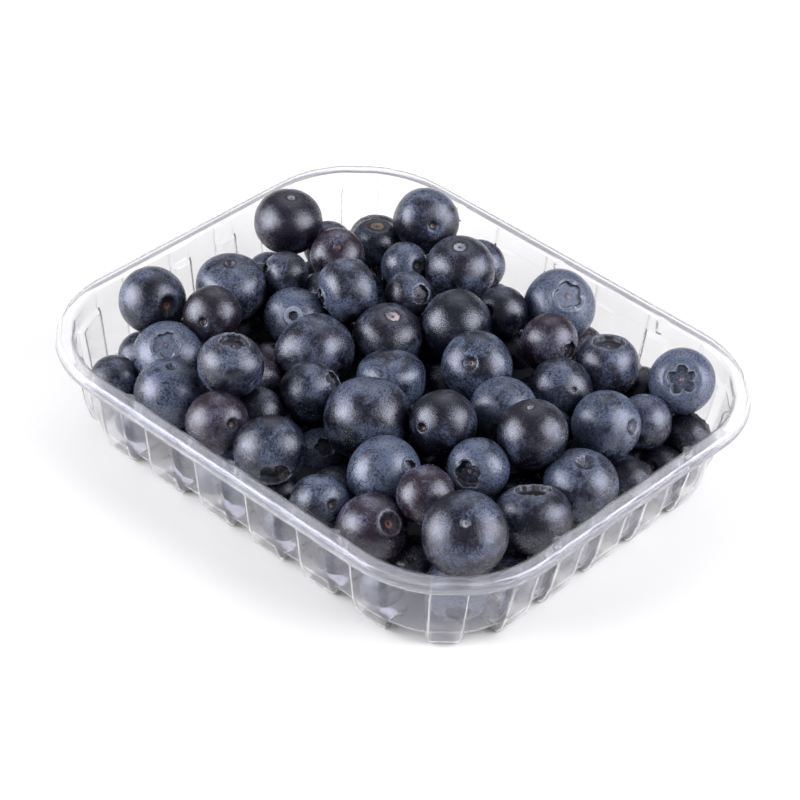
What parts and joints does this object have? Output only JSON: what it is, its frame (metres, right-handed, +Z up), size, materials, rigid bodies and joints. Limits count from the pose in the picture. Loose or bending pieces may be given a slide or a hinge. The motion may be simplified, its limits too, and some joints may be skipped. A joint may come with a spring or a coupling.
{
  "type": "punnet of blueberries",
  "caption": "Shallow clear plastic tray with a rolled rim, ribbed walls and small feet, heaped with loose blueberries.",
  "frame": {"origin": "centre of the tray's footprint, at the bottom of its feet", "axes": "+X along the tray's long side, +Y along its short side, +Z up"},
  "size_m": [0.145, 0.123, 0.0398],
  "materials": {
    "clear_plastic": "clear glossy thermoformed sheet",
    "berry_skin": "dark skin under a soft waxy bloom"
  },
  "bodies": {
    "root": {"tray": "clear_plastic", "berries": "berry_skin"}
  },
  "joints": []
}
